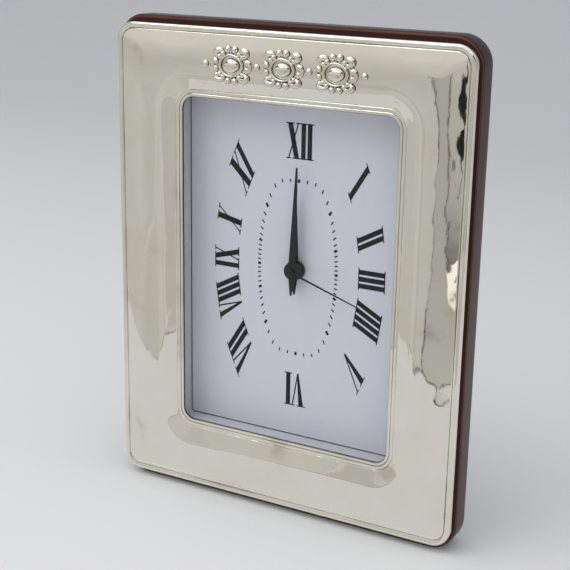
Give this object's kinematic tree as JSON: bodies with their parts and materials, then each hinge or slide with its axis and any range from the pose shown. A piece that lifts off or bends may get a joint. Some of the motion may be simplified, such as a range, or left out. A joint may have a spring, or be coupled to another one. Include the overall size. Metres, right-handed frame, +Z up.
{
  "type": "photo frame clock",
  "caption": "table clock built into a photo frame: embossed silver front on a dark wooden body, quartz dial behind glass, and a hinged strut behind",
  "frame": {"origin": "centre of the flat foot strip under the wooden body, on the table", "axes": "+Z up, +X to the right of someone looking at the dial, +Y to the back; the dial faces -Y"},
  "size_m": [0.14, 0.0663, 0.179],
  "materials": {
    "silver": "polished silver with fine hand-polishing marks",
    "resin": "cast, hidden behind the sheet",
    "wood": "dark lacquered, satin",
    "panel": "stained fibreboard",
    "glass": "clear",
    "spacer": "satin white",
    "dial_paper": "matt, printed in black",
    "board": "matt",
    "pad": "foam, matt",
    "brass": "lacquered",
    "black_plastic": "fine grain",
    "steel": "nickel plated",
    "train_plastic": "moulded",
    "train_brass": "bright",
    "magnet": "ground",
    "iron": "annealed",
    "copper": "enamelled copper wire",
    "circuit": "solder-masked",
    "chip": "potted",
    "cell": "satin sleeve",
    "black_hands": "matt black"
  },
  "bodies": {
    "frame": {"silver_front": "silver", "resin_core": "resin", "wood_body": "wood", "back_panel": "panel", "glass": "glass", "dial_spacer": "spacer", "dial_sheet": "dial_paper", "dial_board": "board", "mounting_pad": "pad", "hinge_frame_leaf": "brass", "hinge_pin": "brass", "hinge_frame_screws": "brass", "turn_button_screws": "brass", "movement_case": "black_plastic", "movement_cover": "black_plastic", "cover_screws": "steel", "contact_positive": "steel", "contact_negative": "steel", "quartz_crystal": "steel", "train_plate": "train_plastic", "stator": "iron", "coil": "copper", "circuit_board": "circuit", "control_chip": "chip", "battery": "cell"},
    "strut": {"strut_leg": "wood", "hinge_strut_leaf": "brass", "hinge_strut_screws": "brass"},
    "turn_button_1": {"turn_button_1": "brass"},
    "turn_button_2": {"turn_button_2": "brass"},
    "turn_button_3": {"turn_button_3": "brass"},
    "turn_button_4": {"turn_button_4": "brass"},
    "minute": {"minute_hand": "black_hands", "cannon_pinion": "train_brass"},
    "hour": {"hour_hand": "black_hands", "hour_wheel": "train_brass"},
    "motion": {"motion_wheel": "train_plastic"},
    "setting": {"setting_knob": "black_plastic"},
    "second": {"second_hand": "black_hands", "second_wheel": "train_brass"},
    "intermediate": {"intermediate_wheel": "train_plastic"},
    "rotor": {"rotor": "magnet"},
    "third": {"third_wheel": "train_plastic"},
    "centre": {"centre_wheel": "train_plastic"}
  },
  "joints": [
    {"name": "strut_swing", "type": "hinge", "parent": "frame", "child": "strut", "pos_m": [-0.0051, 0.01175, 0.0405], "axis": [0, 0, 1], "range_deg": [0, 90]},
    {"name": "turn_button_1_turn", "type": "hinge", "parent": "frame", "child": "turn_button_1", "pos_m": [-0.052, 0.01095, 0.1209], "axis": [0, 1, 0], "range_deg": [-90, 90]},
    {"name": "turn_button_2_turn", "type": "hinge", "parent": "frame", "child": "turn_button_2", "pos_m": [0.052, 0.01095, 0.1209], "axis": [0, 1, 0], "range_deg": [-90, 90]},
    {"name": "turn_button_3_turn", "type": "hinge", "parent": "frame", "child": "turn_button_3", "pos_m": [-0.052, 0.01095, 0.0609], "axis": [0, 1, 0], "range_deg": [-90, 90]},
    {"name": "turn_button_4_turn", "type": "hinge", "parent": "frame", "child": "turn_button_4", "pos_m": [0.052, 0.01095, 0.0609], "axis": [0, 1, 0], "range_deg": [-90, 90]},
    {"name": "minute_spin", "type": "hinge", "parent": "frame", "child": "minute", "pos_m": [0, 0.01255, 0.0909], "axis": [0, 1, 0], "continuous": true},
    {"name": "hour_spin", "type": "hinge", "parent": "frame", "child": "hour", "pos_m": [0, 0.01095, 0.0909], "axis": [0, 1, 0], "continuous": true},
    {"name": "motion_spin", "type": "hinge", "parent": "frame", "child": "motion", "pos_m": [0.0075, 0.01255, 0.0909], "axis": [0, 1, 0], "continuous": true},
    {"name": "setting_spin", "type": "hinge", "parent": "frame", "child": "setting", "pos_m": [0.015, 0.01255, 0.0909], "axis": [0, 1, 0], "continuous": true},
    {"name": "second_spin", "type": "hinge", "parent": "frame", "child": "second", "pos_m": [0, 0.01805, 0.0909], "axis": [0, 1, 0], "continuous": true},
    {"name": "intermediate_spin", "type": "hinge", "parent": "frame", "child": "intermediate", "pos_m": [-0.00758, 0.01945, 0.09527], "axis": [0, 1, 0], "continuous": true},
    {"name": "rotor_spin", "type": "hinge", "parent": "frame", "child": "rotor", "pos_m": [-0.01154, 0.01945, 0.10213], "axis": [0, 1, 0], "continuous": true},
    {"name": "third_spin", "type": "hinge", "parent": "frame", "child": "third", "pos_m": [0.0045, 0.01555, 0.09869], "axis": [0, 1, 0], "continuous": true},
    {"name": "centre_spin", "type": "hinge", "parent": "frame", "child": "centre", "pos_m": [0, 0.01405, 0.0909], "axis": [0, 1, 0], "continuous": true}
  ],
  "couplings": [
    {"joint": "hour_spin", "follows": "minute_spin", "ratio": 0.083333},
    {"joint": "motion_spin", "follows": "minute_spin", "ratio": -0.33333},
    {"joint": "setting_spin", "follows": "minute_spin", "ratio": 1},
    {"joint": "intermediate_spin", "follows": "second_spin", "ratio": -6},
    {"joint": "rotor_spin", "follows": "second_spin", "ratio": 30},
    {"joint": "third_spin", "follows": "second_spin", "ratio": -0.13333},
    {"joint": "centre_spin", "follows": "second_spin", "ratio": 0.016667}
  ]
}
